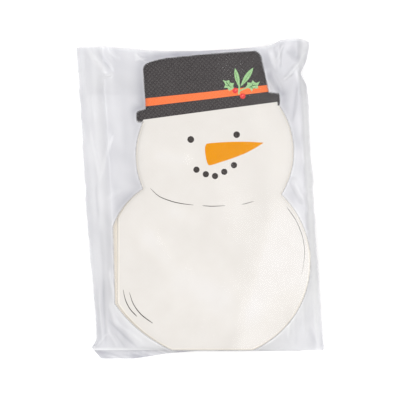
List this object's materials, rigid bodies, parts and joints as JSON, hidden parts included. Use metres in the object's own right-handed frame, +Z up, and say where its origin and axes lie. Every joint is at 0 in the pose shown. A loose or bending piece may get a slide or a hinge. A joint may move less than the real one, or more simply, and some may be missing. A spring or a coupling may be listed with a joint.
{
  "type": "pack of die-cut paper napkins",
  "caption": "Clear film bag with a fold-over adhesive flap, holding a stack of folded paper napkins die-cut as a snowman in a top hat.",
  "frame": {"origin": "bottom centre of the whole pack, which lies on its back", "axes": "+Z up out of the napkins' printed faces, +Y towards the hats and the bag's mouth, +X towards the tip of the carrot nose"},
  "size_m": [0.1644, 0.2066, 0.0214],
  "materials": {
    "clear_film": "thin clear plastic film, crinkled, with streaky soft highlights",
    "adhesive_strip": "milky pressure-sensitive adhesive tape",
    "printed_paper": "soft embossed tissue, off-white, printed in black, orange, coral and green"
  },
  "bodies": {
    "bag": {"back_film": "clear_film", "front_film": "clear_film", "left_seam": "clear_film", "right_seam": "clear_film", "bottom_seal": "clear_film"},
    "flap": {"closing_flap": "clear_film", "adhesive_strip": "adhesive_strip"},
    "napkin_01": {"napkin_01": "printed_paper"},
    "napkin_02": {"napkin_02": "printed_paper"},
    "napkin_03": {"napkin_03": "printed_paper"},
    "napkin_04": {"napkin_04": "printed_paper"},
    "napkin_05": {"napkin_05": "printed_paper"},
    "napkin_06": {"napkin_06": "printed_paper"},
    "napkin_07": {"napkin_07": "printed_paper"},
    "napkin_08": {"napkin_08": "printed_paper"},
    "napkin_09": {"napkin_09": "printed_paper"},
    "napkin_10": {"napkin_10": "printed_paper"},
    "napkin_11": {"napkin_11": "printed_paper"},
    "napkin_12": {"napkin_12": "printed_paper"},
    "napkin_13": {"napkin_13": "printed_paper"},
    "napkin_14": {"napkin_14": "printed_paper"},
    "napkin_15": {"napkin_15": "printed_paper"},
    "napkin_16": {"napkin_16": "printed_paper"},
    "napkin_17": {"napkin_17": "printed_paper"},
    "napkin_18": {"napkin_18": "printed_paper"},
    "napkin_19": {"napkin_19": "printed_paper"},
    "napkin_20": {"napkin_20": "printed_paper"}
  },
  "joints": [
    {"name": "flap_hinge", "type": "hinge", "parent": "bag", "child": "flap", "pos_m": [0, 0.10335, 0.0008], "axis": [1, 0, 0], "range_deg": [0, 180]},
    {"name": "napkin_01_slide", "type": "slide", "parent": "bag", "child": "napkin_01", "axis": [-0.0541, 0.9985, 0], "range_m": [0, 0.21]},
    {"name": "napkin_02_slide", "type": "slide", "parent": "bag", "child": "napkin_02", "axis": [-0.0541, 0.9985, 0], "range_m": [0, 0.21]},
    {"name": "napkin_03_slide", "type": "slide", "parent": "bag", "child": "napkin_03", "axis": [-0.0541, 0.9985, 0], "range_m": [0, 0.21]},
    {"name": "napkin_04_slide", "type": "slide", "parent": "bag", "child": "napkin_04", "axis": [-0.0541, 0.9985, 0], "range_m": [0, 0.21]},
    {"name": "napkin_05_slide", "type": "slide", "parent": "bag", "child": "napkin_05", "axis": [-0.0541, 0.9985, 0], "range_m": [0, 0.21]},
    {"name": "napkin_06_slide", "type": "slide", "parent": "bag", "child": "napkin_06", "axis": [-0.0541, 0.9985, 0], "range_m": [0, 0.21]},
    {"name": "napkin_07_slide", "type": "slide", "parent": "bag", "child": "napkin_07", "axis": [-0.0541, 0.9985, 0], "range_m": [0, 0.21]},
    {"name": "napkin_08_slide", "type": "slide", "parent": "bag", "child": "napkin_08", "axis": [-0.0541, 0.9985, 0], "range_m": [0, 0.21]},
    {"name": "napkin_09_slide", "type": "slide", "parent": "bag", "child": "napkin_09", "axis": [-0.0541, 0.9985, 0], "range_m": [0, 0.21]},
    {"name": "napkin_10_slide", "type": "slide", "parent": "bag", "child": "napkin_10", "axis": [-0.0541, 0.9985, 0], "range_m": [0, 0.21]},
    {"name": "napkin_11_slide", "type": "slide", "parent": "bag", "child": "napkin_11", "axis": [-0.0541, 0.9985, 0], "range_m": [0, 0.21]},
    {"name": "napkin_12_slide", "type": "slide", "parent": "bag", "child": "napkin_12", "axis": [-0.0541, 0.9985, 0], "range_m": [0, 0.21]},
    {"name": "napkin_13_slide", "type": "slide", "parent": "bag", "child": "napkin_13", "axis": [-0.0541, 0.9985, 0], "range_m": [0, 0.21]},
    {"name": "napkin_14_slide", "type": "slide", "parent": "bag", "child": "napkin_14", "axis": [-0.0541, 0.9985, 0], "range_m": [0, 0.21]},
    {"name": "napkin_15_slide", "type": "slide", "parent": "bag", "child": "napkin_15", "axis": [-0.0541, 0.9985, 0], "range_m": [0, 0.21]},
    {"name": "napkin_16_slide", "type": "slide", "parent": "bag", "child": "napkin_16", "axis": [-0.0541, 0.9985, 0], "range_m": [0, 0.21]},
    {"name": "napkin_17_slide", "type": "slide", "parent": "bag", "child": "napkin_17", "axis": [-0.0541, 0.9985, 0], "range_m": [0, 0.21]},
    {"name": "napkin_18_slide", "type": "slide", "parent": "bag", "child": "napkin_18", "axis": [-0.0541, 0.9985, 0], "range_m": [0, 0.21]},
    {"name": "napkin_19_slide", "type": "slide", "parent": "bag", "child": "napkin_19", "axis": [-0.0541, 0.9985, 0], "range_m": [0, 0.21]},
    {"name": "napkin_20_slide", "type": "slide", "parent": "bag", "child": "napkin_20", "axis": [-0.0541, 0.9985, 0], "range_m": [0, 0.21]}
  ]
}
